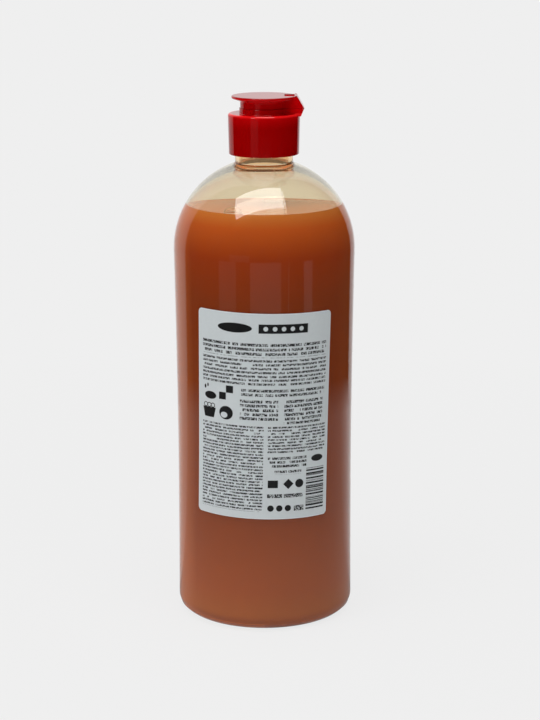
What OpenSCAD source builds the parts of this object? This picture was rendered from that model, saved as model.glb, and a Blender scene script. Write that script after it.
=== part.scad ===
// Liquid soap bottle: a clear blown bottle with a domed shoulder, its soap, a wrap label and a
// flip-top closure. The base's centre is the origin, +Z is up, the label faces -Y and the hinge +X.

/* [Bottle] */
// Diameter over the heel
heel_d = 77.9; // [70:0.1:88]
// Diameter at the waist of the label panel
waist_d = 77.4; // [68:0.1:87]
// Diameter of the domed shoulder
shoulder_d = 79.4; // [70:0.1:90]
// Height of the waist
waist_z = 75; // [60:1:100]
// Height where the panel ends and the dome starts
shoulder_z = 164.4; // [150:0.1:200]
// Wall of the blown body
wall = 0.5; // [0.3:0.05:1.2]
// Wall of the dome where it meets the neck, where blowing leaves the most plastic
root_wall = 2.4; // [1.4:0.1:3]
// Radius of the heel's outer curve
heel_round = 6.4; // [3:0.1:9]
// Width of the flat ring that the bottle stands on
ring_w = 1; // [0.4:0.1:2]
// Radius of the curve from the standing ring into the push-up
ring_round = 2.5; // [1.5:0.1:4]
// Slope at which the push-up leaves the ring, in degrees
pushup_angle = 24; // [12:1:34]
// Diameter of the gate mark under the push-up
gate_d = 3.2; // [2:0.1:6]
// Depth of the gate mark
gate_h = 0.4; // [0.2:0.1:1]

/* [Neck] */
// Outer diameter of the neck
neck_d = 25.2; // [22:0.1:26]
// Diameter of the neck's bore
bore_d = 21.6; // [18:0.1:21.8]
// Height of the neck from its root to the mouth
finish_h = 19.9; // [17:0.1:23]
// Radius of the fillet at the neck's root
root_round = 0.9; // [0.4:0.1:1.5]
// Chamfer on the mouth's edges
lip_chamfer = 0.35; // [0.1:0.05:0.5]

/* [Soap] */
// Height left empty between the soap and the neck's root
headspace_h = 18; // [8:0.1:30]
// Clearance between the soap and the wall
soap_gap = 0.05; // [0.02:0.01:0.2]

/* [Label] */
// Width of the label along the panel
label_w = 61.8; // [40:0.1:76]
// Height of the label
label_h = 91.1; // [60:0.1:110]
// Height of the label's middle
label_z = 97.5; // [85:0.1:105]
// Distance of the label's middle to the left of the front
label_offset = 0.6; // [0:0.01:3]
// Lean of the label as it was stuck on, in degrees
label_lean = 1.24; // [0:0.01:3]
// Radius of the label's corners
label_corner = 1.8; // [0.5:0.1:5]
// Thickness of the label
label_t = 0.1; // [0.05:0.01:0.3]
// Bond line under the label
label_gap = 0.05; // [0.02:0.01:0.1]

/* [Closure] */
// Outer diameter of the closure at its lower edge
closure_d = 30.5; // [29.8:0.1:34]
// Outer diameter of the closure at its deck
deck_d = 31.3; // [30.8:0.1:34.5]
// Neck left showing under the closure
neck_show = 3.8; // [2:0.1:6]
// Diameter over the neck's thread, which the closure's bore clears
thread_d = 27.5; // [26.5:0.1:27.7]
// Clearance round the thread
thread_gap = 0.2; // [0.1:0.05:0.3]
// Thickness of the deck
deck_t = 1.4; // [1:0.1:2]
// Clearance between the mouth and the deck
mouth_gap = 0.15; // [0.1:0.01:0.3]
// Radius of the deck's outer edge
deck_round = 1; // [0.4:0.1:1.3]
// Radius of the closure's lower edge
foot_round = 0.35; // [0.1:0.05:0.5]
// Diameter of the raised collar
collar_d = 21.4; // [19.5:0.1:22]
// Height of the raised collar
collar_h = 2.35; // [1.5:0.05:3]
// Wall of the collar and thickness of its top
collar_wall = 1.1; // [0.8:0.05:1.4]
// Radius of the fillet at the collar's foot
collar_fillet = 0.25; // [0.1:0.05:0.4]
// Radius of the collar's upper edge
collar_round = 0.2; // [0.1:0.05:0.4]
// Diameter of the pouring hole
orifice_d = 4; // [3:0.1:5]
// Wall of the spout round the pouring hole
spout_wall = 1.3; // [0.8:0.1:2]
// Height of the spout above the collar
spout_h = 1.5; // [0.8:0.1:2]
// Length of the plug that seals in the bore
plug_h = 3; // [2:0.1:5]
// Wall of the plug
plug_wall = 0.9; // [0.6:0.05:1.2]
// Clearance between the plug and the bore
plug_gap = 0.15; // [0.1:0.01:0.2]

/* [Lid] */
// Diameter of the lid's disc
lid_d = 28.2; // [26:0.1:29]
// Diameter of the lid's skirt
lid_skirt_d = 20.6; // [18.6:0.1:21]
// Height of the lid from the collar to its top
lid_h = 5.2; // [4.2:0.1:6]
// Clearance between the lid and the collar
part_gap = 0.1; // [0.06:0.01:0.15]
// Thickness of the disc at its edge
rim_t = 1.2; // [0.8:0.05:1.3]
// Radius of the rim's edges
rim_round = 0.45; // [0.2:0.05:0.5]
// Extra thickness of the disc where it meets the skirt
disc_swell = 1.1; // [0.4:0.05:1.4]
// Radius of the fillet between the disc and the skirt
skirt_fillet = 0.5; // [0.2:0.05:0.8]
// Wall of the lid's skirt
lid_wall = 1.1; // [0.8:0.05:1.3]
// Thickness of the lid's top
lid_top_t = 1.25; // [1:0.05:1.5]
// Clearance between the lid's pin and the pouring hole
pin_gap = 0.2; // [0.15:0.01:0.3]
// Depth to which the pin enters the spout
pin_reach = 1.4; // [0.8:0.1:1.5]

/* [Hinge] */
// Distance of the hinge's outer line from the closure's axis
hinge_x = 17.4; // [17:0.01:18.5]
// Width of the hinge's ears
hinge_w = 12; // [8:0.5:14]
// Distance that the lid's ear leans in from the hinge line to its top
lid_ear_lean = 3.12; // [2:0.01:3.5]
// Height of the lid's ear above the disc
lid_ear_lip = 0.31; // [0:0.01:0.5]
// Width of that lip
lid_ear_lip_w = 0.7; // [0.6:0.1:1]
// Distance that the base's ear leans in from the hinge line to its foot
base_ear_lean = 1.47; // [1:0.01:1.8]
// Height of the base's ear from its foot to the hinge line
base_ear_h = 3.3; // [2.4:0.1:3.5]
// Radius of the flexing web at the hinge line
web_r = 0.25; // [0.2:0.01:0.4]
// Clearance between the web and the lid's ear
web_gap = 0.2; // [0.2:0.01:0.3]
// Radius of the ears' upright edges
ear_round = 0.7; // [0.3:0.1:1.5]
// Radius of the lid ear's upper edge
ear_top_round = 0.6; // [0.2:0.1:0.8]
// Radius of the hollow curve that runs from the ears' sides into the skirt and the collar
ear_flare = 5; // [3:0.5:6]
// Length of the hollow in the lid's top beside the hinge
hollow_l = 4.4; // [3:0.1:5]
// Width of that hollow
hollow_w = 9.2; // [6:0.1:10]
// Depth of that hollow
hollow_t = 0.45; // [0.2:0.05:0.7]

/* [Hidden] */
$fn = 96;
// Overrun of a cut past the face that it opens
cut = 1;
// How fast the panel swells away from its waist
waist_power = 1.5;
// Depth to which the ears' hollow curves run into the round walls that they join
flare_sink = 0.1;
// How late the dome's wall thickens on its way up
dome_power = 3;
// Steps of the curves in the outlines
panel_steps = 14;
dome_steps = 22;
edge_steps = 5;
base_steps = 8;

heel_r = heel_d / 2;
waist_r = waist_d / 2;
shoulder_r = shoulder_d / 2;
neck_r = neck_d / 2;
bore_r = bore_d / 2;
// Inner edge of the standing ring, and where the push-up's dome starts
ring_x = heel_r - heel_round - ring_w;
dome_x = ring_x - ring_round * sin(pushup_angle);
// The root fillet touches the dome and the neck
fillet_x = neck_r + root_round;
fillet_z = shoulder_z + sqrt(pow(shoulder_r + root_round, 2) - pow(fillet_x, 2));
fillet_angle = atan2(fillet_z - shoulder_z, fillet_x);
root_z = shoulder_z + sqrt(pow(shoulder_r, 2) - pow(neck_r, 2));
mouth_z = root_z + finish_h;
soap_z = root_z - headspace_h;

closure_z = root_z + neck_show;
deck_under_z = mouth_z + mouth_gap;
deck_z = deck_under_z + deck_t;
collar_z = deck_z + collar_h;
spout_z = collar_z + spout_h;
closure_r = closure_d / 2;
deck_r = deck_d / 2;
collar_r = collar_d / 2;
collar_in_r = collar_r - collar_wall;
orifice_r = orifice_d / 2;
plug_r = bore_r - plug_gap;

lid_z = collar_z + part_gap;
lid_top_z = collar_z + lid_h;
lid_r = lid_d / 2;
lid_skirt_r = lid_skirt_d / 2;
disc_under_z = lid_top_z - rim_t - disc_swell;
ear_top_z = lid_top_z + lid_ear_lip;
ear_top_x = hinge_x - lid_ear_lean;
// The hinge's axis runs along Y, in the middle of the web
axis_x = hinge_x - web_r;
axis_z = collar_z + part_gap / 2;

// Points of an arc in an outline, from angle a to angle b
function arc(x, z, r, a, b, steps) =
    [for (i = [0:steps]) let (t = a + (b - a) * i / steps) [x + r * cos(t), z + r * sin(t)]];

// Points from last to first
function reversed(line) = [for (i = [len(line) - 1:-1:0]) line[i]];

// Radius of the panel at height z
function panel_r(z) =
    z < waist_z
        ? waist_r + (heel_r - waist_r) * pow((waist_z - z) / (waist_z - heel_round), waist_power)
        : waist_r + (shoulder_r - waist_r) * pow((z - waist_z) / (shoulder_z - waist_z), waist_power);

// Points of the panel between two heights, moved in by inset
function panel(from_z, to_z, inset) =
    [for (i = [0:panel_steps]) let (z = from_z + (to_z - from_z) * i / panel_steps) [panel_r(z) - inset, z]];

// Push-up, standing ring, heel and panel, from the axis upwards, moved in by inset
function foot_line(inset) =
    let (
        dome_r = dome_x / sin(pushup_angle) + inset,
        dome_z = ring_round * (1 - cos(pushup_angle)) + inset * cos(pushup_angle),
        rise = 90 - pushup_angle
    )
    concat(
        arc(0, dome_z - dome_r * cos(pushup_angle), dome_r, 90, rise, base_steps),
        arc(ring_x, ring_round, ring_round - inset, -90 - pushup_angle, -90, edge_steps),
        arc(heel_r - heel_round, heel_round, heel_round - inset, -90, 0, base_steps),
        panel(heel_round + heel_round / panel_steps, shoulder_z, inset)
    );

// Outside of the bottle, from the axis to the mouth
bottle_line = concat(
    foot_line(0),
    arc(0, shoulder_z, shoulder_r, fillet_angle / dome_steps, fillet_angle, dome_steps - 1),
    arc(fillet_x, fillet_z, root_round, fillet_angle + 180, 180, edge_steps),
    [[neck_r, mouth_z - lip_chamfer], [neck_r - lip_chamfer, mouth_z]]
);

// Dome of the cavity, up to the bore, under a wall that thickens towards the neck
function cavity_dome(inset) =
    let (top = acos(bore_r / (shoulder_r - root_wall)))
    [for (i = [1:dome_steps]) let (
        t = top * i / dome_steps,
        r = shoulder_r - inset - (root_wall - wall) * pow(sin(t) / sin(top), dome_power)
    ) [r * cos(t), shoulder_z + r * sin(t)]];

// Inside of the bottle, from the axis to the mouth
cavity_line = concat(
    foot_line(wall),
    cavity_dome(wall),
    [[bore_r, mouth_z - lip_chamfer], [bore_r + lip_chamfer, mouth_z]]
);

// A ring of the panel between two distances outside it
module panel_ring(near, far, from_z, to_z) {
    rotate_extrude()
        polygon(concat(panel(from_z, to_z, -far), reversed(panel(from_z, to_z, -near))));
}

// A rectangle about the origin with round corners
module rounded_rect(w, h, r) {
    square([w - 2 * r, h], center = true);
    square([w, h - 2 * r], center = true);
    for (x = [-1, 1], y = [-1, 1])
        translate([x * (w / 2 - r), y * (h / 2 - r)])
            circle(r);
}

// Blown bottle, with the gate mark under its push-up
module bottle() {
    color([0.86, 0.82, 0.72, 0.4]) {
        rotate_extrude()
            polygon(concat(bottle_line, reversed(cavity_line)));
        translate([0, 0, bottle_line[0][1] - gate_h])
            cylinder(d = gate_d, h = gate_h + wall / 2);
    }
}

// Soap up to its level
module soap() {
    color([0.5, 0.22, 0.1])
        intersection() {
            rotate_extrude()
                polygon(concat(
                    foot_line(wall + soap_gap),
                    cavity_dome(wall + soap_gap),
                    [[bore_r, mouth_z], [0, mouth_z]]
                ));
            cylinder(r = heel_r + shoulder_r, h = soap_z);
        }
}

// Label on the front of the panel
module label() {
    face_w = 2 * (waist_r + label_t) * sin(label_w / waist_r / PI * 90);
    reach_z = label_h / 2 + face_w * sin(label_lean);
    color([0.73, 0.75, 0.76])
        intersection() {
            panel_ring(label_gap, label_gap + label_t, label_z - reach_z, label_z + reach_z);
            translate([-label_offset, 0, label_z])
                rotate([90, label_lean, 0])
                    linear_extrude(heel_r + shoulder_r)
                        rounded_rect(face_w, label_h, label_corner);
        }
}

// Turns an outline in X and Z into a solid of width w about the XZ plane
module across(w) {
    translate([0, w / 2, 0])
        rotate([90, 0, 0])
            linear_extrude(w)
                children();
}

// Plan of an ear that grows out of a round wall of radius r, with round edges at the hinge
module ear_shape(r) {
    flare_y = hinge_w / 2 + ear_flare;
    flare_x = sqrt(pow(r - flare_sink + ear_flare, 2) - pow(flare_y, 2));
    share = r / (r + ear_flare);
    translate([hinge_x / 2, 0])
        rounded_rect(hinge_x, hinge_w, ear_round);
    for (side = [-1, 1])
        difference() {
            polygon([
                [0, 0],
                [flare_x, 0],
                [flare_x, side * flare_y],
                [flare_x * share, side * flare_y * share]
            ]);
            translate([flare_x, side * flare_y])
                circle(ear_flare);
        }
}

// Keeps what lies inside that plan
module ear_plan(r) {
    intersection() {
        children();
        translate([0, 0, deck_under_z])
            linear_extrude(ear_top_z - deck_under_z + cut)
                ear_shape(r);
    }
}

// Outline of the closure's outside, from the axis up to the collar
base_outline = concat(
    [[0, closure_z]],
    arc(closure_r - foot_round, closure_z + foot_round, foot_round, -90, 0, edge_steps),
    arc(deck_r - deck_round, deck_z - deck_round, deck_round, 0, 90, edge_steps),
    arc(collar_r + collar_fillet, deck_z + collar_fillet, collar_fillet, 270, 180, edge_steps),
    arc(collar_r - collar_round, collar_z - collar_round, collar_round, 0, 90, edge_steps),
    [[0, collar_z]]
);

// Ear of the base, with the flexing web at its tip
module base_ear() {
    foot_z = axis_z - base_ear_h;
    // The outer face ends inside the web, so that it meets the web's curve once and at an angle
    face_angle = atan2(-base_ear_lean, base_ear_h);
    face_r = web_r / 2;
    ear_plan(collar_r)
        across(collar_d)
            polygon([
                [0, foot_z],
                [hinge_x - base_ear_lean, foot_z],
                [axis_x + face_r * cos(face_angle), axis_z + face_r * sin(face_angle)],
                [axis_x, collar_z],
                [0, collar_z]
            ]);
    // The web stops short of the ears' round edges
    web_end = hinge_w / 2 - ear_round - web_r;
    translate([axis_x, web_end, axis_z])
        rotate([90, 0, 0])
            cylinder(r = web_r, h = 2 * web_end);
}

// Closure's base: skirt, deck, collar, spout, plug and ear
module closure_base() {
    color([0.55, 0, 0.01]) {
        difference() {
            union() {
                rotate_extrude()
                    polygon(base_outline);
                base_ear();
                cylinder(r = orifice_r + spout_wall, h = spout_z);
            }
            translate([0, 0, closure_z - cut])
                cylinder(r = thread_d / 2 + thread_gap, h = deck_under_z - closure_z + cut);
            cylinder(r = collar_in_r, h = collar_z - collar_wall);
            cylinder(r = orifice_r, h = spout_z + cut);
        }
        translate([0, 0, deck_under_z - plug_h])
            difference() {
                cylinder(r = plug_r, h = plug_h + deck_t / 2);
                translate([0, 0, -cut])
                    cylinder(r = plug_r - plug_wall, h = plug_h + deck_t + cut);
            }
    }
}

// Outline of the lid's outside, from the axis down the rim and the skirt
lid_outline = concat(
    [[0, lid_top_z]],
    reversed(arc(lid_r - rim_round, lid_top_z - rim_round, rim_round, 0, 90, edge_steps)),
    reversed(arc(lid_r - rim_round, lid_top_z - rim_t + rim_round, rim_round, -90, 0, edge_steps)),
    arc(lid_skirt_r + skirt_fillet, disc_under_z - skirt_fillet, skirt_fillet, 90, 180, edge_steps),
    [[lid_skirt_r, lid_z], [0, lid_z]]
);

// Ear of the lid, cut clear of the web
module lid_ear() {
    lip_x = ear_top_x - lid_ear_lip_w;
    // The round upper edge touches the lip and the leaning face
    face_angle = atan2(lid_ear_lean, ear_top_z - lid_z);
    round_x = ear_top_x - ear_top_round / tan(45 + face_angle / 2);
    difference() {
        ear_plan(lid_skirt_r)
            across(collar_d)
                polygon(concat(
                    [[0, lid_z], [hinge_x, lid_z]],
                    arc(round_x, ear_top_z - ear_top_round, ear_top_round, face_angle, 90, edge_steps),
                    [[lip_x, ear_top_z], [lip_x - lid_ear_lip, lid_top_z], [0, lid_top_z]]
                ));
        translate([axis_x, hinge_w / 2 + cut, axis_z])
            rotate([90, 0, 0])
                cylinder(r = web_r + web_gap, h = hinge_w + 2 * cut);
    }
}

// Flip lid: disc, skirt, ear and the pin that closes the pouring hole
module flip_lid() {
    pin_r = orifice_r - pin_gap;
    pin_z = spout_z - pin_reach;
    hollow_x = ear_top_x - lid_ear_lip_w - lid_ear_lip - hollow_l / 2;
    color([0.58, 0, 0.01]) {
        difference() {
            union() {
                rotate_extrude()
                    polygon(lid_outline);
                lid_ear();
            }
            translate([0, 0, lid_z - cut])
                cylinder(r = lid_skirt_r - lid_wall, h = lid_top_z - lid_top_t - lid_z + cut);
            translate([hollow_x, 0, lid_top_z - hollow_t])
                linear_extrude(lid_ear_lip + hollow_t + cut)
                    rounded_rect(hollow_l, hollow_w, ear_round);
        }
        translate([0, 0, pin_z + pin_gap])
            cylinder(r = pin_r, h = lid_top_z - lid_top_t / 2 - pin_z - pin_gap);
        translate([0, 0, pin_z])
            cylinder(r1 = pin_r - pin_gap, r2 = pin_r, h = pin_gap);
    }
}

bottle();
soap();
label();
closure_base();
flip_lid();
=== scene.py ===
"""Looks of the liquid soap bottle: clear bottle, brown soap, printed label and red flip-top closure."""
import math

import bmesh
import bpy
from mathutils import Matrix


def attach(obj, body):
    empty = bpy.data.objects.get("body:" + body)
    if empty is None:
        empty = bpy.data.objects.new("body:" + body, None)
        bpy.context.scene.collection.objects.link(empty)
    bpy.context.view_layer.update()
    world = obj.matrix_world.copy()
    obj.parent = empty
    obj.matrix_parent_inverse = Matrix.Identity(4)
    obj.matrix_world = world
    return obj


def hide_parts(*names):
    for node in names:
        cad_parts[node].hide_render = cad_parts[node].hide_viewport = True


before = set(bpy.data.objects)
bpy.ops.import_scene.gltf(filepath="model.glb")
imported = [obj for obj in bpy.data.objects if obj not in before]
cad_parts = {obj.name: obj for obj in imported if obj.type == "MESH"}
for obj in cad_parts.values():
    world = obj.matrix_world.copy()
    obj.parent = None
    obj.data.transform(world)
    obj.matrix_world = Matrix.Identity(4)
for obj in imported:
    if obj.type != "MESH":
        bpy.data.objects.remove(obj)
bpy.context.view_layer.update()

MM = 0.001
SHARP_DEG = 40

# Camera and studio
FOCAL_PX = 2047.0
IMAGE_LONG_PX = 720.0
SENSOR_MM = 36.0
CAMERA_PLACE_MM = (2.44, -885.6, 325.1)
CAMERA_TILT_DEG = 76.57
CAMERA_ROLL_RAD = -0.00177
PALE = 0.863
SOFTBOX_Z = 1.0
SOFTBOX_CORNERS = ((-0.461, -0.115), (0.243, 0.024), (0.437, -0.427), (-0.713, -0.706))
SOFTBOX_RADIANCE = 5.4
AMBIENT = 0.42
AMBIENT_FROM_BACK = 0.28
AMBIENT_FROM_LEFT = 0.22
BACKDROP_GLOSS = 0.8
BACKDROP_EDGE_GLOSS = 0.5
BACKDROP_LEFT_SHARE = 0.53
BACKDROP_RIGHT_SHARE = 1.2
# The part of the floor that shows lit in the gloss: radius, width of its soft edge, tone in
# front, and how the tone grows round to the back
LIT_FLOOR_R = 0.405
LIT_FLOOR_EDGE = 0.08
LIT_FLOOR_GLOSS = 0.34
LIT_BACK_GAIN = 2
LIT_BACK_START = 0.8
FAR_FLOOR_R = 1.1
SHADOW_SHARE = 0.09
SHADOW_R = 0.5
# Bright strips in the room in front: side distance over front distance, and strength
ROOM_STRIPS = ((-1.6, -0.7, 0.16), (-0.31, 0.38, 0.24), (1.2, 1.9, 0.28))
FAR_STRIP = (-0.95, -0.33, 0.12)

# Bottle, in millimetres
HEEL_R = 38.95
WAIST_R = 38.7
SHOULDER_R = 39.7
WAIST_Z = 75.0
SHOULDER_Z = 164.4
WALL = 0.5
ROOT_WALL = 2.4
DOME_POWER = 3
HEEL_ROUND = 6.4
RING_W = 1.0
RING_ROUND = 2.5
PUSHUP_DEG = 24.0
GATE_R = 1.6
GATE_H = 0.4
GATE_CHAMFER = 0.15
NECK_R = 12.6
BORE_R = 10.8
FINISH_H = 19.9
ROOT_ROUND = 0.9
LIP = 0.35
PANEL_POWER = 1.5
SEAM_DEG = 15.5
SEAM_HALF_W = 0.28
SEAM_H = 0.1
FOOT_TOP = 12.0
PARTING_DEG = -32.0
PARTING_HALF_DEG = 2.6
PARTING_H = 0.16
PANEL_ABOVE_HEEL = 0.5

# Clear plastic. The neck's glow is painted light inside its thick wall, and the neck's browner
# tone is painted too: it stands for the soap's brown seen refracted through that thick wall.
CLEAR_TONE = (0.92, 0.86, 0.70)
NECK_ABOVE_ROOT = 0.6
NECK_PAINTED_REFRACTION_TONE = (0.78, 0.62, 0.42)
NECK_GLOW = (0.07, 0.042, 0.02)

# Soap
SOAP_Z = 184.05
SOAP_BITE = 0.15
MENISCUS_H = 0.2
MENISCUS_W = 1.0
# Each bubble's place across and along the surface, and its radius. Then, for all of them, the
# height over the radius, and how high the pale foot reaches. The pale foot is a painted highlight
# ring where the bubble meets the soap.
BUBBLES = ((-13.0, -26.4, 4.1),)
BUBBLE_FLAT = 0.66
BUBBLE_HIGHLIGHT_FOOT_H = 0.45

# Height share and colour, from the foot up to the surface. The soap's own brown carries painted
# light and shade: the lighter top stands for light scattered down from the lit surface, and the
# darker foot is painted shade under the heel.
SOAP_TONES_AND_PAINTED_LIGHT = (
    (0.0, (0.30, 0.065, 0.03)), (0.04, (0.44, 0.124, 0.037)), (0.10, (0.41, 0.097, 0.03)),
    (0.28, (0.295, 0.06, 0.014)), (0.55, (0.25, 0.043, 0.008)), (0.80, (0.265, 0.041, 0.007)),
    (0.90, (0.355, 0.043, 0.0045)), (0.97, (0.52, 0.093, 0.012)), (1.0, (0.58, 0.175, 0.032)),
)
# The soap's lighter edge, where little of it is looked through, is painted light that stands for
# light coming through the thin soap at the sides. It is weaker on the +X side, which paints the
# photograph's light from the left into the soap.
SOAP_EDGE_PAINTED_LIGHT_TONE = (0.62, 0.17, 0.05)
SOAP_EDGE_START = 0.15
SOAP_EDGE_GAIN = 11
SOAP_EDGE_MOST = 0.7
SOAP_EDGE_RIGHT_SHARE = 0.25

# Label
LABEL_EDGE = 0.35
PRINT_SHIFT = (0.69, 0.4)
WORD_GAP_TRIM = 0.05
# Left, top, right, low, row pitch, share of the row that is inked, seed and word gaps
TEXT_BLOCKS = (
    (3.2, 13.5, 60.2, 19.6, 1.98, 0.62, 1.0, 0.38),
    (3.2, 20.6, 60.4, 29.0, 1.72, 0.56, 7.0, 0.36),
    (3.2, 29.1, 60.4, 32.4, 1.72, 0.56, 13.0, 0.36),
    (22.0, 33.6, 59.8, 36.9, 1.9, 0.62, 19.0, 0.36),
    (21.5, 38.4, 38.0, 47.6, 1.9, 0.66, 23.0, 0.42),
    (40.6, 38.4, 59.0, 49.0, 1.9, 0.66, 29.0, 0.42),
    (3.2, 50.0, 32.0, 88.2, 1.36, 0.58, 31.0, 0.34),
    (33.8, 50.0, 60.8, 62.0, 1.36, 0.58, 37.0, 0.36),
    (34.0, 63.6, 51.4, 68.4, 1.75, 0.62, 41.0, 0.34),
    (37.0, 69.6, 49.0, 71.4, 1.75, 0.62, 43.0, 0.3),
    (34.0, 80.2, 50.0, 82.4, 2.2, 0.75, 47.0, 0.3),
    (45.9, 85.6, 50.4, 88.4, 2.8, 0.85, 53.0, 0.3),
)
LABEL_W = 61.8
LABEL_H = 91.1
LABEL_Z = 97.5
LABEL_OFFSET = 0.6
LABEL_LEAN_DEG = 1.24
LABEL_CORNER = 1.8
LABEL_GAP = 0.05
LABEL_T = 0.1

# Closure. Its lighter upper red, its rim's tone and its inner glow are painted light: they stand
# for light that comes through the plastic.
THICK_TONES = ((0.33, 0.0, 0.0), (0.39, 0.0, 0.0005))
UPPER_PAINTED_LIGHT_TONES = ((0.54, 0.0, 0.001), (0.62, 0.001, 0.003))
PAINTED_LIGHT_Z = (218.0, 223.5)
RIM_Z = (222.3, 223.5)
RIM_TOP_Z = 223.9
RIM_R = 14.6
RIM_TONE = (0.22, 0.008, 0.008)
LID_FACE_Z = 230.7
LID_FACE_TONE = (0.36, 0.001, 0.002)
GLOW_R = 14.3
GLOW_TOP_Z = 222.3
GLOW_TONE = (0.34, 0.13, 0.05)

# Thread on the neck
THREAD_TURNS = 1.5
THREAD_PITCH = 4.0
THREAD_R = 13.75
THREAD_W = 2.2
THREAD_TOP = 3.0

RING_X = HEEL_R - HEEL_ROUND - RING_W
DOME_X = RING_X - RING_ROUND * math.sin(math.radians(PUSHUP_DEG))
FILLET_X = NECK_R + ROOT_ROUND
FILLET_Z = SHOULDER_Z + math.sqrt((SHOULDER_R + ROOT_ROUND) ** 2 - FILLET_X ** 2)
FILLET_DEG = math.degrees(math.atan2(FILLET_Z - SHOULDER_Z, FILLET_X))
ROOT_Z = SHOULDER_Z + math.sqrt(SHOULDER_R ** 2 - NECK_R ** 2)
MOUTH_Z = ROOT_Z + FINISH_H


# ---------- shader maths ----------

class Signal:
    """A number on a socket. Arithmetic on it adds Math nodes."""

    def __init__(self, maker, socket):
        self.maker = maker
        self.socket = socket

    def _math(self, operation, *values):
        return self.maker.node("ShaderNodeMath", {"operation": operation}, *values)

    def __add__(self, other):
        return self._math("ADD", self, other)

    def __radd__(self, other):
        return self._math("ADD", other, self)

    def __sub__(self, other):
        return self._math("SUBTRACT", self, other)

    def __rsub__(self, other):
        return self._math("SUBTRACT", other, self)

    def __mul__(self, other):
        return self._math("MULTIPLY", self, other)

    def __rmul__(self, other):
        return self._math("MULTIPLY", other, self)

    def __truediv__(self, other):
        return self._math("DIVIDE", self, other)

    def __gt__(self, other):
        return self._math("GREATER_THAN", self, other)

    def __lt__(self, other):
        return self._math("LESS_THAN", self, other)

    def abs(self):
        return self._math("ABSOLUTE", self)

    def fract(self):
        return self._math("FRACT", self)

    def floor(self):
        return self._math("FLOOR", self)

    def root(self):
        return self._math("SQRT", self)

    def max(self, other):
        return self._math("MAXIMUM", self, other)

    def min(self, other):
        return self._math("MINIMUM", self, other)


class Maker:
    """Builds the nodes of one material or world."""

    def __init__(self, tree):
        self.tree = tree
        tree.nodes.clear()

    def node(self, kind, settings=None, *values, out=0, **named):
        made = self.tree.nodes.new(kind)
        for key, value in (settings or {}).items():
            if key == "stops":
                ramp = made.color_ramp
                while len(ramp.elements) > 1:
                    ramp.elements.remove(ramp.elements[-1])
                ramp.elements[0].position = value[0][0]
                ramp.elements[0].color = (*value[0][1], 1)
                for place, colour in value[1:]:
                    ramp.elements.new(place).color = (*colour, 1)
            else:
                setattr(made, key, value)
        for index, value in enumerate(values):
            self._feed(made.inputs[index], value)
        for key, value in named.items():
            self._feed(made.inputs[key.replace("_", " ")], value)
        return Signal(self, made.outputs[out])

    def _feed(self, socket, value):
        if isinstance(value, Signal):
            self.tree.links.new(value.socket, socket)
        elif value is not None:
            socket.default_value = value

    def blend(self, factor, colour_a, colour_b):
        made = self.tree.nodes.new("ShaderNodeMix")
        made.data_type = "RGBA"
        self._feed(made.inputs[0], factor)
        for socket, colour in ((made.inputs[6], colour_a), (made.inputs[7], colour_b)):
            self._feed(socket, colour if isinstance(colour, Signal) else (*colour, 1))
        return Signal(self, made.outputs[2])

    def grey(self, level):
        return self.blend(level, (0, 0, 0), (1, 1, 1))

    def position(self, kind="Object"):
        made = self.tree.nodes.new("ShaderNodeTexCoord")
        return Signal(self, made.outputs[kind])

    def split(self, vector):
        made = self.tree.nodes.new("ShaderNodeSeparateXYZ")
        self._feed(made.inputs[0], vector)
        return [Signal(self, made.outputs[i]) for i in range(3)]

    def finish(self, shader, kind="ShaderNodeOutputMaterial"):
        made = self.tree.nodes.new(kind)
        self.tree.links.new(shader.socket, made.inputs["Surface"])


def new_material(name):
    material = bpy.data.materials.new(name)
    material.use_nodes = True
    return material, Maker(material.node_tree)


# ---------- meshes ----------

def arc(x, z, r, start, end, steps):
    """Points of an arc in the outline plane, angles in degrees."""
    turns = (start + (end - start) * i / steps for i in range(steps + 1))
    return [(x + r * math.cos(math.radians(t)), z + r * math.sin(math.radians(t))) for t in turns]


def panel_r(z):
    if z < WAIST_Z:
        share = (WAIST_Z - z) / (WAIST_Z - HEEL_ROUND)
        return WAIST_R + (HEEL_R - WAIST_R) * share ** PANEL_POWER
    share = (z - WAIST_Z) / (SHOULDER_Z - WAIST_Z)
    return WAIST_R + (SHOULDER_R - WAIST_R) * share ** PANEL_POWER


def panel(z0, z1, inset, steps=48):
    heights = (z0 + (z1 - z0) * i / steps for i in range(steps + 1))
    return [(panel_r(z) - inset, z) for z in heights]


def foot_line(inset):
    slope = math.radians(PUSHUP_DEG)
    dome_r = DOME_X / math.sin(slope) + inset
    dome_z = RING_ROUND * (1 - math.cos(slope)) + inset * math.cos(slope)
    return (
        arc(0, dome_z - dome_r * math.cos(slope), dome_r, 90, 90 - PUSHUP_DEG, 20)
        + arc(RING_X, RING_ROUND, RING_ROUND - inset, -90 - PUSHUP_DEG, -90, 8)[1:]
        + heel_line(inset)
        + panel(HEEL_ROUND + PANEL_ABOVE_HEEL, SHOULDER_Z, inset)
    )


def heel_line(inset):
    """The heel's round, with the thin ridge that the base mould leaves on the outside."""
    low = PARTING_DEG - PARTING_HALF_DEG
    high = PARTING_DEG + PARTING_HALF_DEG
    centre = (HEEL_R - HEEL_ROUND, HEEL_ROUND)
    ridge_r = HEEL_ROUND - inset + (0 if inset else PARTING_H)
    return (
        arc(*centre, HEEL_ROUND - inset, -90, low, 14)
        + arc(*centre, ridge_r, PARTING_DEG, PARTING_DEG, 1)[:1]
        + arc(*centre, HEEL_ROUND - inset, high, 0, 10)
    )


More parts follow.
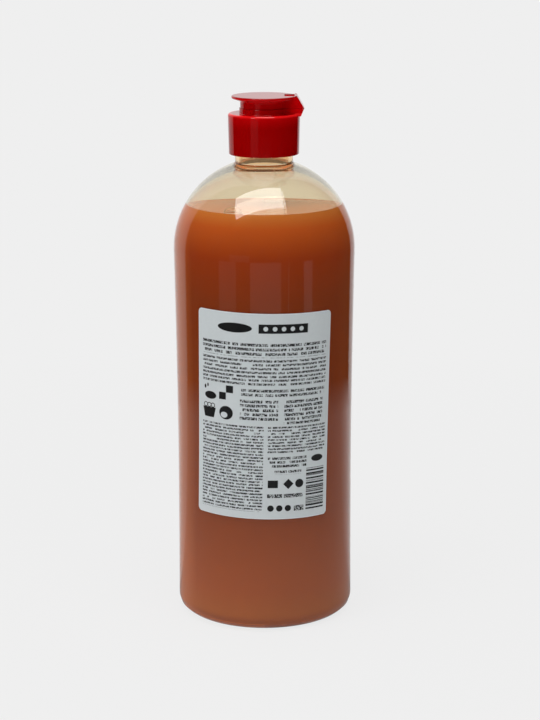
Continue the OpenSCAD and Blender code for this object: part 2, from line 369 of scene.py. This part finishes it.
def outside_line():
    foot = foot_line(0)
    gate_z = foot[0][1] - GATE_H
    gate = [(0, gate_z), (GATE_R - GATE_CHAMFER, gate_z), (GATE_R, gate_z + GATE_CHAMFER),
            (GATE_R, foot[0][1])]
    rest = [point for point in foot if point[0] > GATE_R]
    dome = arc(0, SHOULDER_Z, SHOULDER_R, 1, FILLET_DEG, 60)
    root = arc(FILLET_X, FILLET_Z, ROOT_ROUND, FILLET_DEG + 180, 180, 10)[1:]
    return gate + rest + dome + root + [(NECK_R, MOUTH_Z - LIP), (NECK_R - LIP, MOUTH_Z)]


def cavity_dome(inset, steps=72):
    """The dome's inner face. The wall grows from WALL at the shoulder to ROOT_WALL at the neck."""
    top = math.acos(BORE_R / (SHOULDER_R - ROOT_WALL))
    line = []
    for i in range(1, steps + 1):
        turn = top * i / steps
        grown = (ROOT_WALL - WALL) * (math.sin(turn) / math.sin(top)) ** DOME_POWER
        r = SHOULDER_R - inset - grown
        line.append((r * math.cos(turn), SHOULDER_Z + r * math.sin(turn)))
    return line


def inside_line():
    return foot_line(WALL) + cavity_dome(WALL) + [(BORE_R, MOUTH_Z - LIP), (BORE_R + LIP, MOUTH_Z)]


def even_turns(count=192):
    return [2 * math.pi * i / count for i in range(count)]


def turn_apart(turn, seam):
    """The angle between two turns, the short way round."""
    return abs((turn - seam + math.pi) % (2 * math.pi) - math.pi)


def seam_turns(count=192):
    """Even turns, with narrow columns added on both sides of the two mould seams."""
    turns = []
    width = SEAM_HALF_W / SHOULDER_R
    seams = [math.radians(SEAM_DEG - 90), math.radians(SEAM_DEG + 90)]
    seams = [seam % (2 * math.pi) for seam in seams]
    for turn in even_turns(count):
        if all(turn_apart(turn, seam) > 2 * width for seam in seams):
            turns.append(turn)
    for seam in seams:
        turns += [(seam + share * width) % (2 * math.pi) for share in (-1.5, -1, -0.4, 0.4, 1, 1.5)]
    return sorted(turns), seams


def lathe(name, line, turns, lift=None):
    """A closed solid of revolution. The line runs from the axis to the axis."""
    made = bmesh.new()
    rings = []
    for index, (r, z) in enumerate(line):
        if r < 1e-6:
            rings.append([made.verts.new((0, 0, z * MM))])
            continue
        ring = []
        for turn in turns:
            out = r + (lift(index, turn) if lift else 0)
            ring.append(made.verts.new((out * math.cos(turn) * MM, out * math.sin(turn) * MM, z * MM)))
        rings.append(ring)
    for low, high in zip(rings, rings[1:]):
        for i in range(len(turns)):
            j = (i + 1) % len(turns)
            if len(low) == 1:
                made.faces.new((low[0], high[j], high[i]))
            elif len(high) == 1:
                made.faces.new((low[i], low[j], high[0]))
            else:
                made.faces.new((low[i], low[j], high[j], high[i]))
    bmesh.ops.recalc_face_normals(made, faces=made.faces)
    return to_object(name, made)


def to_object(name, made, smooth=True):
    mesh = bpy.data.meshes.new(name)
    made.to_mesh(mesh)
    made.free()
    piece = bpy.data.objects.new(name, mesh)
    bpy.context.scene.collection.objects.link(piece)
    if smooth:
        mesh.shade_smooth()
        mesh.set_sharp_from_angle(angle=math.radians(SHARP_DEG))
    return piece


def make_bottle():
    outside = outside_line()
    inside = inside_line()
    turns, seams = seam_turns()
    width = SEAM_HALF_W / SHOULDER_R
    count = len(outside)

    def lift(index, turn):
        if index >= count - 2:
            return 0
        r, z = outside[index]
        if r < RING_X and z < FOOT_TOP:
            return 0
        near = min(turn_apart(turn, seam) for seam in seams)
        return SEAM_H * max(0.0, 1 - near / width)

    return lathe("clear_bottle", outside + inside[::-1], turns, lift)


def make_soap():
    bite = WALL - SOAP_BITE
    edge_z = SOAP_Z + MENISCUS_H
    line = foot_line(bite) + [point for point in cavity_dome(bite, 240) if point[1] < edge_z]
    rim = line[-1][0]
    line.append((rim, edge_z))
    for i in range(1, 9):
        share = i / 8
        line.append((rim - MENISCUS_W * share, SOAP_Z + MENISCUS_H * (1 - share) ** 2))
    line += [((rim - MENISCUS_W) * share, SOAP_Z) for share in (0.8, 0.55, 0.3, 0)]
    return lathe("soap_fill", line, even_turns())


def label_radius(z, far):
    return panel_r(z) + LABEL_GAP + (LABEL_T if far else 0)


def make_label(columns=96, rows=64):
    """A curved sheet with a thickness. Its UV map runs 0 to 1 over the label's width and height."""
    made = bmesh.new()
    uv = made.loops.layers.uv.new("print")
    lean = math.radians(LABEL_LEAN_DEG)
    half_w, half_h = LABEL_W / 2, LABEL_H / 2

    def corner_cut(v):
        past = abs(v) - (half_h - LABEL_CORNER)
        if past <= 0:
            return 0
        return LABEL_CORNER - math.sqrt(max(0, LABEL_CORNER ** 2 - past ** 2))

    heights = [-half_h + LABEL_CORNER * (1 - math.cos(math.pi / 2 * i / 8)) for i in range(9)]
    middle = [-half_h + LABEL_CORNER + (LABEL_H - 2 * LABEL_CORNER) * i / rows for i in range(1, rows)]
    heights = heights + middle + [-h for h in heights[::-1]]
    sheets = []
    for far in (True, False):
        grid = []
        for v in heights:
            reach = half_w - corner_cut(v)
            row = []
            for i in range(columns + 1):
                u = -reach + 2 * reach * i / columns
                across = u * math.cos(lean) + v * math.sin(lean) - LABEL_OFFSET
                up = LABEL_Z - u * math.sin(lean) + v * math.cos(lean)
                r = label_radius(up, far)
                turn = across / WAIST_R
                vert = made.verts.new((r * math.sin(turn) * MM, -r * math.cos(turn) * MM, up * MM))
                row.append((vert, (u / LABEL_W + 0.5, v / LABEL_H + 0.5)))
            grid.append(row)
        sheets.append(grid)

    def face(*corners):
        made_face = made.faces.new([corner[0] for corner in corners])
        for loop, corner in zip(made_face.loops, corners):
            loop[uv].uv = corner[1]

    front, back = sheets
    last = len(heights) - 1
    for j in range(last):
        for i in range(columns):
            face(front[j][i], front[j][i + 1], front[j + 1][i + 1], front[j + 1][i])
            face(back[j + 1][i], back[j + 1][i + 1], back[j][i + 1], back[j][i])
    for j in range(last):
        face(front[j + 1][0], back[j + 1][0], back[j][0], front[j][0])
        face(front[j][columns], back[j][columns], back[j + 1][columns], front[j + 1][columns])
    for i in range(columns):
        face(front[0][i], back[0][i], back[0][i + 1], front[0][i + 1])
        face(front[last][i + 1], back[last][i + 1], back[last][i], front[last][i])
    bmesh.ops.recalc_face_normals(made, faces=made.faces)
    return to_object("wrap_label", made)


# ---------- pieces that repeat or follow a path ----------

def grown_piece(name, build, values):
    """Runs a geometry tree and returns its result as a plain mesh object."""
    tree = bpy.data.node_groups.new(name, "GeometryNodeTree")
    for label, value in values.items():
        kind = "NodeSocketMaterial" if isinstance(value, bpy.types.Material) else "NodeSocketFloat"
        tree.interface.new_socket(label, in_out="INPUT", socket_type=kind)
    tree.interface.new_socket("Geometry", in_out="OUTPUT", socket_type="NodeSocketGeometry")
    make = Maker(tree)
    given = tree.nodes.new("NodeGroupInput")
    shape = build(make, {label: Signal(make, given.outputs[label]) for label in values})
    shape = make.node("GeometryNodeRealizeInstances", None, shape)
    shape = make.node("GeometryNodeSetMaterial", None, shape,
                      Material=Signal(make, given.outputs["Material"]))
    result = tree.nodes.new("NodeGroupOutput")
    tree.links.new(shape.socket, result.inputs["Geometry"])

    seed = bpy.data.objects.new(name + "_seed", bpy.data.meshes.new(name + "_seed"))
    bpy.context.scene.collection.objects.link(seed)
    modifier = seed.modifiers.new("grow", "NODES")
    modifier.node_group = tree
    for item in tree.interface.items_tree:
        if item.in_out == "INPUT":
            modifier[item.identifier] = values[item.name]
    mesh = bpy.data.meshes.new_from_object(seed.evaluated_get(bpy.context.evaluated_depsgraph_get()))
    seed.modifiers.remove(modifier)
    bpy.data.objects.remove(seed)
    mesh.name = name
    mesh.shade_smooth()
    mesh.set_sharp_from_angle(angle=math.radians(SHARP_DEG))
    piece = bpy.data.objects.new(name, mesh)
    bpy.context.scene.collection.objects.link(piece)
    return piece


def make_thread(plastic):
    """The screw thread on the neck, faded out at both ends."""
    def build(make, given):
        height = given["Turns"] * given["Pitch"]
        line = make.node("GeometryNodeCurveSpiral", None, 64, given["Turns"], given["Radius"],
                         given["Radius"], height, True)
        turns = make.node("GeometryNodeSplineParameter")
        fade = (turns * 9).min(1.0).min((1 - turns) * 9)
        line = make.node("GeometryNodeSetCurveNormal", {"mode": "Z_UP"}, line)
        profile = make.node("GeometryNodeCurvePrimitiveQuadrilateral", {"mode": "TRAPEZOID"},
                            None, given["Depth"], given["Width"], given["Width"] * 0.35, 0.0)
        profile = make.node("GeometryNodeTransform", None, profile, Rotation=(0, 0, -math.pi / 2))
        line = make.node("GeometryNodeSetCurveRadius", None, line, None, fade.max(0.05))
        solid = make.node("GeometryNodeCurveToMesh", None, line, profile, Fill_Caps=True)
        drop = make.node("ShaderNodeCombineXYZ", None, 0.0, 0.0, given["Low end"])
        return make.node("GeometryNodeTransform", None, solid, Translation=drop)

    depth = THREAD_R - NECK_R
    return grown_piece("neck_thread", build, {
        "Turns": THREAD_TURNS, "Pitch": THREAD_PITCH * MM, "Radius": (NECK_R + depth / 2) * MM,
        "Width": THREAD_W * MM, "Depth": depth * MM,
        "Low end": (MOUTH_Z - THREAD_TOP - THREAD_TURNS * THREAD_PITCH) * MM, "Material": plastic})


def make_bubbles(film):
    """The bubbles at the front edge of the soap, flattened and sunk by half."""
    def build(make, given):
        joined = make.tree.nodes.new("GeometryNodeJoinGeometry")
        for x, y, r in BUBBLES:
            ball = make.node("GeometryNodeMeshIcoSphere", None, given["Unit"] * r, 3)
            place = make.node("ShaderNodeCombineXYZ", None, given["Unit"] * x, given["Unit"] * y,
                              given["Level"])
            ball = make.node("GeometryNodeTransform", None, ball, Translation=place,
                             Scale=(1, 1, BUBBLE_FLAT))
            make.tree.links.new(ball.socket, joined.inputs[0])
        return Signal(make, joined.outputs[0])

    return grown_piece("soap_bubbles", build, {"Unit": MM, "Level": SOAP_Z * MM, "Material": film})


# ---------- materials ----------

def clear_plastic():
    material, make = new_material("clear_plastic_blown")
    ripple = make.node("ShaderNodeTexNoise", {"noise_dimensions": "3D"}, Vector=make.position(),
                       Scale=24.0, Detail=0.0)
    bump = make.node("ShaderNodeBump", None, Strength=0.02, Distance=0.0006, Height=ripple)
    x, y, z = make.split(make.position())
    # Painted light in the neck: a browner tone and a faint glow above its root.
    neck = z > (ROOT_Z + NECK_ABOVE_ROOT) * MM
    glass = make.node("ShaderNodeBsdfPrincipled", None, Roughness=0.015, IOR=1.57, Transmission_Weight=1.0,
                      Normal=bump, Base_Color=make.blend(neck, CLEAR_TONE, NECK_PAINTED_REFRACTION_TONE),
                      Emission_Color=make.blend(neck, (0, 0, 0), NECK_GLOW), Emission_Strength=1.0)
    clear = make.node("ShaderNodeBsdfTransparent", None, Color=(0.95, 0.92, 0.86, 1))
    path = make.tree.nodes.new("ShaderNodeLightPath")
    passes = Signal(make, path.outputs["Is Shadow Ray"]).max(Signal(make, path.outputs["Is Diffuse Ray"]))
    make.finish(make.node("ShaderNodeMixShader", None, passes, glass, clear))
    return material


def bubble_film():
    material, make = new_material("bubble_film")
    rim = make.node("ShaderNodeLayerWeight", None, Blend=0.35, out=1)
    x, y, z = make.split(make.position())
    foot = z < (SOAP_Z + BUBBLE_HIGHLIGHT_FOOT_H) * MM
    # Painted light on the bubbles: a pale highlight at the foot, and a darker brown at the rim for the soap
    # seen refracted through the film.
    tone = make.blend(foot, make.blend(rim, (0.85, 0.6, 0.42), (0.5, 0.3, 0.16)), (0.95, 0.88, 0.78))
    make.finish(make.node("ShaderNodeBsdfPrincipled", None, Base_Color=tone, Roughness=0.05, IOR=1.33,
                          Alpha=(rim * 0.6 + 0.2).max(foot * 0.8)))
    return material


def soap_liquid():
    material, make = new_material("soap_liquid_brown")
    x, y, z = make.split(make.position())
    # The colour by height paints light and shade: lighter at the top, darker at the foot.
    height = z / (SOAP_Z * MM)
    tone = make.node("ShaderNodeValToRGB", {"stops": SOAP_TONES_AND_PAINTED_LIGHT}, height)
    cloud = make.node("ShaderNodeTexNoise", {"noise_dimensions": "3D"}, Vector=make.position(),
                      Scale=18.0, Detail=1.0)
    colour = make.blend((cloud - 0.45).max(0.0) * 0.5, tone, (0.30, 0.10, 0.05))
    # Painted light at the soap's edges, stronger on the -X side.
    turned = make.node("ShaderNodeLayerWeight", None, Blend=0.5, out=1)
    thin = ((turned - SOAP_EDGE_START) * SOAP_EDGE_GAIN).max(0.0).min(SOAP_EDGE_MOST)
    thin = thin * (SOAP_EDGE_RIGHT_SHARE + (x < 0) * (1 - SOAP_EDGE_RIGHT_SHARE))
    colour = make.blend(thin, colour, SOAP_EDGE_PAINTED_LIGHT_TONE)
    make.finish(make.node("ShaderNodeBsdfPrincipled", None, Base_Color=colour, Roughness=0.12, IOR=1.2))
    return material


def rise(z, low, high):
    """0 below the low height and 1 above the high one, both in millimetres."""
    return ((z / MM - low) / (high - low)).max(0.0).min(1.0)


def closure_plastic():
    """Red moulding. Its thin upper parts are painted a lighter red, and a painted glow lies on the rim and
    inside the skirt, for light that comes through the plastic.
    """
    material, make = new_material("closure_plastic_red")
    place = make.position()
    x, y, z = make.split(place)
    grain = make.node("ShaderNodeTexNoise", {"noise_dimensions": "3D"}, Vector=place, Scale=700.0, Detail=1.0)
    flow = make.node("ShaderNodeTexNoise", {"noise_dimensions": "3D"}, Vector=place, Scale=60.0, Detail=2.0)
    bump = make.node("ShaderNodeBump", None, Strength=0.03, Distance=0.0001, Height=grain)
    thick = make.blend(flow, *THICK_TONES)
    thin = make.blend(flow, *UPPER_PAINTED_LIGHT_TONES)
    thin = make.blend(z > LID_FACE_Z * MM, thin, LID_FACE_TONE)
    # Painted light: the red grows lighter towards the top, while the lid's top face keeps a plain red.
    colour = make.blend(rise(z, *PAINTED_LIGHT_Z), thick, thin)
    away = (x * x + y * y).root()
    # Painted glow on the rim's outside and inside the skirt.
    inside = (away < GLOW_R * MM) * (z < GLOW_TOP_Z * MM)
    rim = rise(z, *RIM_Z) * (z < RIM_TOP_Z * MM) * (away > RIM_R * MM)
    glow = make.blend(inside, make.blend(rim, (0, 0, 0), RIM_TONE), GLOW_TONE)
    make.finish(make.node("ShaderNodeBsdfPrincipled", None, Base_Color=colour, Roughness=0.04 + flow * 0.06,
                          IOR=1.49, Normal=bump, Emission_Strength=1.0, Emission_Color=glow))
    return material


def within(value, low, high):
    return (value > low) * (value < high)


def area(u, v, left, top, right, low):
    return within(u, left, right) * within(v, top, low)


def disc(u, v, x, y, across, tall=None):
    side, down = (u - x) / across, (v - y) / (tall or across)
    return side * side + down * down < 1


def text_rows(make, u, v, left, top, right, low, pitch, weight, seed, gaps):
    """Rows of broken dashes that stand for small print and can't be read."""
    down = (v - top) / pitch
    row = down.floor()
    word_place = make.node("ShaderNodeCombineXYZ", None, u * 0.55, row * 3.7 + seed, 0.0)
    words = make.node("ShaderNodeTexNoise", {"noise_dimensions": "2D"}, Vector=word_place, Scale=1.0,
                      Detail=0.0)
    mark_place = make.node("ShaderNodeCombineXYZ", None, u * 1.5, v * 1.1 + seed, 0.0)
    marks = make.node("ShaderNodeTexNoise", {"noise_dimensions": "2D"}, Vector=mark_place, Scale=1.0,
                      Detail=1.0)
    ink = ((marks - 0.34) * 5.0).max(0.25).min(1.0)
    inked = (down.fract() < weight) * (words > gaps - WORD_GAP_TRIM)
    return area(u, v, left, top, right, low) * inked * ink


def label_print(make, u, v):
    """Where the ink lies, with u from the left and v from the top, in millimetres."""
    ink = disc(u, v, 18.6, 7.0, 7.6, 2.1) + area(u, v, 29.0, 5.0, 50.4, 9.0)
    for x in (32.0, 35.9, 39.7, 43.5, 47.4):
        ink = ink - disc(u, v, x, 7.0, 1.0)
    for block in TEXT_BLOCKS:
        ink = ink + text_rows(make, u, v, *block)
    # four plain pictures: drops over a disc, a chequered tile, a basin and a cloth
    ink = ink + disc(u, v, 4.6, 34.6, 0.5, 0.9) + disc(u, v, 6.0, 33.8, 0.4, 0.8)
    ink = ink + disc(u, v, 7.4, 38.2, 3.0, 1.7)
    tile = area(u, v, 11.8, 32.8, 18.4, 39.2)
    ink = ink + tile * (((u - 11.8) / 6.6).fract() > 0.5) * (((v - 32.8) / 6.4).fract() < 0.5)
    ink = ink + tile * (((u - 11.8) / 6.6).fract() < 0.5) * (((v - 32.8) / 6.4).fract() > 0.5)
    ink = ink + area(u, v, 3.4, 43.6, 10.2, 48.0) * ((u - 6.8).abs() < 3.4 - (v - 43.6) * 0.22)
    for x in (4.9, 6.8, 8.7):
        ink = ink + disc(u, v, x, 42.6, 1.1) - disc(u, v, x, 42.6, 0.75)
    ink = ink + disc(u, v, 15.2, 45.0, 3.2, 3.0) * (1 - disc(u, v, 14.3, 46.0, 1.6, 1.3))
    # plain solid shapes, and irregular stripes
    ink = ink + area(u, v, 34.2, 74.0, 38.6, 77.4) + disc(u, v, 48.2, 75.7, 1.9)
    ink = ink + ((u - 43.2).abs() + (v - 75.7).abs() < 2.3) + disc(u, v, 56.8, 65.2, 3.0, 1.5)
    for x in (35.6, 39.4, 43.2):
        ink = ink + disc(u, v, x, 86.6, 1.4)
    bars = make.node("ShaderNodeTexNoise", {"noise_dimensions": "1D"}, W=v, Scale=1.4, Detail=2.0)
    return (ink + area(u, v, 51.4, 69.0, 60.6, 88.6) * (bars > 0.5)).min(1.0).max(0.0)


def label_film():
    material, make = new_material("label_film_printed")
    grain = make.node("ShaderNodeTexNoise", {"noise_dimensions": "3D"}, Vector=make.position(),
                      Scale=700.0, Detail=2.0)
    place = make.node("ShaderNodeUVMap", {"uv_map": "print"})
    u, v, w = make.split(place)
    u, v = u * LABEL_W, (1 - v) * LABEL_H
    paper = make.blend(grain, (0.66, 0.71, 0.725), (0.71, 0.76, 0.775))
    inner = within(u, LABEL_EDGE, LABEL_W - LABEL_EDGE) * within(v, LABEL_EDGE, LABEL_H - LABEL_EDGE)
    paper = make.blend(inner, (0.82, 0.84, 0.85), paper)
    ink = label_print(make, u + PRINT_SHIFT[0], v + PRINT_SHIFT[1])
    colour = make.blend(ink, paper, (0.008, 0.008, 0.009))
    make.finish(make.node("ShaderNodeBsdfPrincipled", None, Base_Color=colour, Roughness=0.3, IOR=1.45))
    return material


def backdrop(x, y):
    """How pale a mirrored direction or place is: the backdrop behind, nothing in front."""
    edge = BACKDROP_LEFT_SHARE + (x > 0) * (BACKDROP_RIGHT_SHARE - BACKDROP_LEFT_SHARE)
    turn = y / x.abs().max(1e-4)
    tone = BACKDROP_EDGE_GLOSS + (BACKDROP_GLOSS - BACKDROP_EDGE_GLOSS) * (turn / 3).max(0.0).min(1.0)
    return ((turn - edge) * 12 + 0.5).max(0.0).min(1.0) * tone


def ray_kinds(make):
    """Rays that see the plain backdrop, and mirrored rays."""
    path = make.tree.nodes.new("ShaderNodeLightPath")
    camera, through, glossy = (Signal(make, path.outputs[label]) for label in (
        "Is Camera Ray", "Is Transmission Ray", "Is Glossy Ray"))
    return camera.max(through), glossy


def floor_pale():
    """Seen by the camera it is the backdrop's tone with a faint shadow; in gloss the far front is dark."""
    material, make = new_material("studio_floor")
    x, y, z = make.split(make.position())
    away = (x * x + y * y).root()
    seen, glossy = ray_kinds(make)
    tone = make.node("ShaderNodeEmission", None, (PALE, PALE, PALE, 1), 1.0)
    round_back = (y / away.max(1e-3) * LIT_BACK_GAIN - LIT_BACK_START).max(0.0).min(1.0)
    near = ((LIT_FLOOR_R - away) / LIT_FLOOR_EDGE + 0.5).max(0.0).min(1.0)
    near = near * (LIT_FLOOR_GLOSS + round_back * (BACKDROP_GLOSS - LIT_FLOOR_GLOSS))
    side = x / (0 - y).max(1e-4)
    strips = 0.0
    for low, high, strength in ROOM_STRIPS:
        strips = strips + within(side, low, high) * strength
    far = strips * (y < 0) * within(away, LIT_FLOOR_R, FAR_FLOOR_R)
    low, high, strength = FAR_STRIP
    far = far + within(side, low, high) * (y < 0) * (away > FAR_FLOOR_R) * strength
    mirrored = make.node("ShaderNodeEmission", None, make.grey((backdrop(x, y) + far).max(near)), 1.0)
    lit = make.node("ShaderNodeBsdfDiffuse", None, (PALE, PALE, PALE, 1))
    shadow = (1 - away / SHADOW_R).max(0.0) * SHADOW_SHARE
    plain = make.node("ShaderNodeMixShader", None, shadow, tone, lit)
    bounced = make.node("ShaderNodeMixShader", None, glossy, lit, mirrored)
    make.finish(make.node("ShaderNodeMixShader", None, seen, bounced, plain))
    return material


# ---------- scene ----------

def set_camera():
    data = bpy.data.cameras.new("camera")
    data.sensor_width = SENSOR_MM
    data.lens = FOCAL_PX / IMAGE_LONG_PX * SENSOR_MM
    camera = bpy.data.objects.new("camera", data)
    camera.location = [c * MM for c in CAMERA_PLACE_MM]
    tilt = Matrix.Rotation(math.radians(CAMERA_TILT_DEG), 3, "X")
    camera.rotation_euler = (tilt @ Matrix.Rotation(CAMERA_ROLL_RAD, 3, "Z")).to_euler()
    bpy.context.scene.collection.objects.link(camera)
    bpy.context.scene.camera = camera


def set_softbox():
    """The soft light overhead, hidden from the camera. Its outline follows its mirror image on the dome."""
    made = bmesh.new()
    made.faces.new([made.verts.new((x, y, SOFTBOX_Z)) for x, y in SOFTBOX_CORNERS])
    softbox = to_object("overhead_softbox", made, smooth=False)
    softbox.visible_camera = False
    material, make = new_material("softbox_glow")
    make.finish(make.node("ShaderNodeEmission", None, (1, 1, 1, 1), SOFTBOX_RADIANCE))
    softbox.data.materials.append(material)


def set_studio():
    world = bpy.data.worlds.new("studio")
    world.use_nodes = True
    make = Maker(world.node_tree)
    seen, glossy = ray_kinds(make)
    x, y, z = make.split(make.position("Generated"))
    soft = AMBIENT + y * AMBIENT_FROM_BACK - x * AMBIENT_FROM_LEFT
    unseen = soft + glossy * (backdrop(x, y) - soft)
    tone = make.grey(unseen + seen * (PALE - unseen))
    make.finish(make.node("ShaderNodeBackground", None, tone, 1.0), "ShaderNodeOutputWorld")
    bpy.context.scene.world = world
    bpy.context.scene.view_settings.view_transform = "Standard"
    made = bmesh.new()
    bmesh.ops.create_grid(made, x_segments=8, y_segments=8, size=12)
    floor = to_object("floor", made, smooth=False)
    floor.data.materials.append(floor_pale())


set_camera()
set_softbox()
set_studio()

blown = clear_plastic()
bottle = make_bottle()
bottle.data.materials.append(blown)
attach(bottle, "bottle")
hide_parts("bottle")

thread = make_thread(blown)
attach(thread, "bottle")

soap = make_soap()
soap.data.materials.append(soap_liquid())
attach(soap, "bottle")
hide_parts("soap")

bubbles = make_bubbles(bubble_film())
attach(bubbles, "bottle")

label = make_label()
label.data.materials.append(label_film())
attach(label, "bottle")
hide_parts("label")

red = closure_plastic()
for node in ("closure_base", "flip_lid"):
    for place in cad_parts[node].material_slots:
        place.material = red
